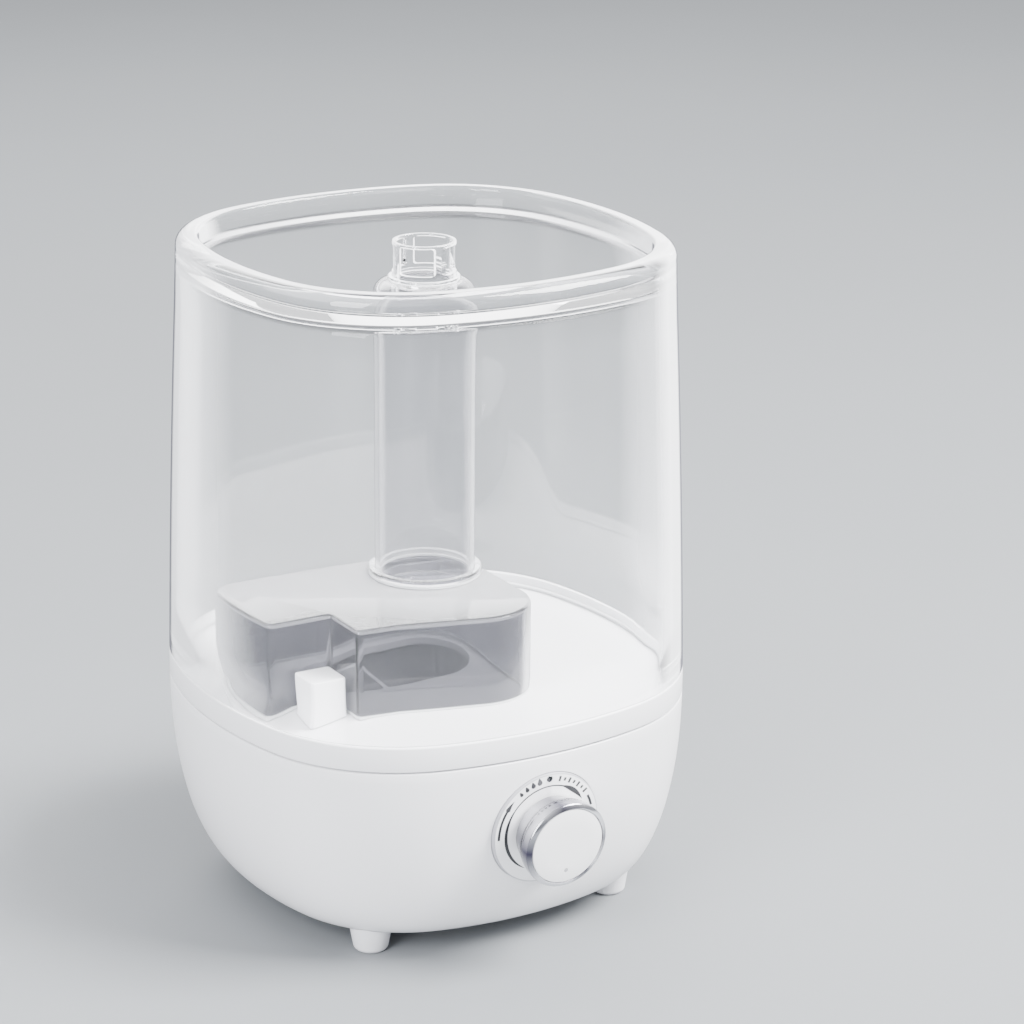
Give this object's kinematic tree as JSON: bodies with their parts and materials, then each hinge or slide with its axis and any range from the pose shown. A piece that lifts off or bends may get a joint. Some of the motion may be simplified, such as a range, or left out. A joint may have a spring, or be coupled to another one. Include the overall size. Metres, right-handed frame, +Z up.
{
  "type": "cool mist humidifier",
  "caption": "Top-fill ultrasonic humidifier: white bowl-shaped base with one dial, clear lift-off tank with a central mist tube, shown without its lid.",
  "frame": {"origin": "on the floor, at the middle of the whole outline seen from above, dial included", "axes": "+Z up; the front with the dial faces -Y; +X is to the right seen from the front"},
  "size_m": [0.209, 0.2262, 0.2885],
  "materials": {
    "white_shell": "satin moulded",
    "white_inner": "moulded",
    "foot": "moulded",
    "clear_tank": "clear, polished",
    "clear_inner": "clear, polished",
    "silicone": "soft, matte",
    "knob_chrome": "satin chrome plating",
    "pointer_grey": "moulded",
    "lens": "translucent",
    "steel": "plated",
    "aluminium": "satin",
    "black_plastic": "moulded",
    "board": "solder mask",
    "copper": "enamelled wire"
  },
  "bodies": {
    "base": {"base_shell": "white_shell", "basin_deck": "white_inner", "bottom_cover": "white_inner", "foot_front_left": "foot", "foot_front_right": "foot", "foot_rear_left": "foot", "foot_rear_right": "foot", "cover_screw_1": "steel", "cover_screw_2": "steel", "cover_screw_3": "steel", "cover_screw_4": "steel", "deck_screw_1": "steel", "deck_screw_2": "steel", "deck_screw_3": "steel", "deck_screw_4": "steel", "transducer_disc": "steel", "transducer_seal": "silicone", "transducer_retainer": "aluminium", "transducer_screw_1": "steel", "transducer_screw_2": "steel", "transducer_screw_3": "steel", "fan_housing": "black_plastic", "fan_motor": "black_plastic", "air_duct": "black_plastic", "float_clip": "white_inner", "reed_switch": "black_plastic", "main_board": "board", "heatsink": "aluminium", "capacitor": "black_plastic", "inductor_coil": "copper", "power_inlet": "black_plastic", "dial_plate": "white_shell", "indicator_lens": "lens", "potentiometer": "steel", "potentiometer_nut": "steel", "control_board": "board"},
    "tank": {"tank_base": "white_shell", "tank_seal": "silicone", "tank_shell": "clear_tank", "mist_chamber": "clear_inner", "chamber_seal": "silicone", "mist_tube": "clear_inner", "tube_seal": "silicone", "mist_collar": "clear_inner", "valve_housing": "white_shell", "valve_spring": "steel"},
    "valve": {"valve_stem": "white_inner", "valve_washer": "silicone"},
    "knob": {"knob_skirt": "knob_chrome", "knob_face": "white_shell", "knob_pointer": "pointer_grey", "knob_shaft": "steel"},
    "fan": {"fan_impeller": "black_plastic"},
    "float": {"float_ring": "white_inner", "float_magnet": "steel"}
  },
  "joints": [
    {"name": "tank_lift", "type": "slide", "parent": "base", "child": "tank", "axis": [0, 0, 1], "range_m": [0, 0.05]},
    {"name": "valve_push", "type": "slide", "parent": "tank", "child": "valve", "axis": [0, 0, 1], "range_m": [0, 0.0015], "stiffness_N_per_m": 150, "springref_m": -0.004, "deforming": ["valve_spring"]},
    {"name": "knob_turn", "type": "hinge", "parent": "base", "child": "knob", "pos_m": [0, -0.09416, 0.0588], "axis": [0, 0.9945, 0.1045], "range_deg": [0, 300]},
    {"name": "fan_spin", "type": "hinge", "parent": "base", "child": "fan", "pos_m": [-0.042, 0.00858, 0.0475], "axis": [0, 0, 1], "continuous": true},
    {"name": "float_rise", "type": "slide", "parent": "base", "child": "float", "axis": [0, 0, 1], "range_m": [0, 0.007]}
  ]
}
